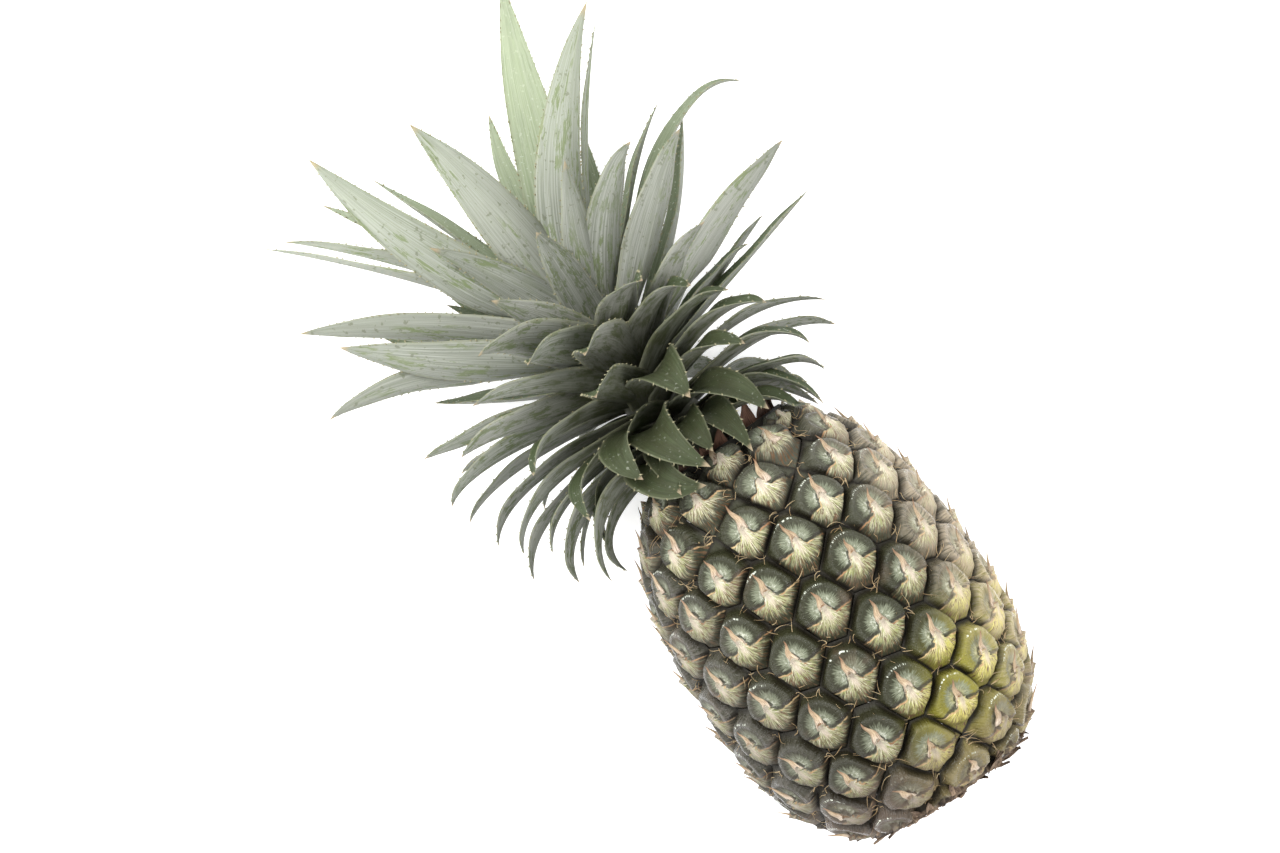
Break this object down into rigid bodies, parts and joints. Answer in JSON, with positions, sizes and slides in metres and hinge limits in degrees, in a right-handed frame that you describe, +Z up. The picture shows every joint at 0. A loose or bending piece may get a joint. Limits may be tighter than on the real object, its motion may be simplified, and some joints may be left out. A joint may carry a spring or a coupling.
{
  "type": "pineapple",
  "caption": "Whole pineapple lying on its side, with a spiral of raised eyes, dry bract tips, a leafy crown and a cut woody stalk.",
  "frame": {"origin": "on the surface that the pineapple lies on, under the middle of its bounding box", "axes": "+X along the fruit's axis from the cut stalk to the crown, +Y to the left of that, +Z up from the surface"},
  "size_m": [0.3578, 0.208, 0.1432],
  "materials": {
    "rind": "waxy grey-green and brown natural rind with glossy dark green edges",
    "leaf": "grey-green leaf with a pale bloom and fine lengthwise stripes",
    "stalk": "dry fibrous cut stalk"
  },
  "bodies": {
    "root": {"fruit": "rind", "crown": "leaf", "cut_stalk": "stalk"}
  },
  "joints": []
}
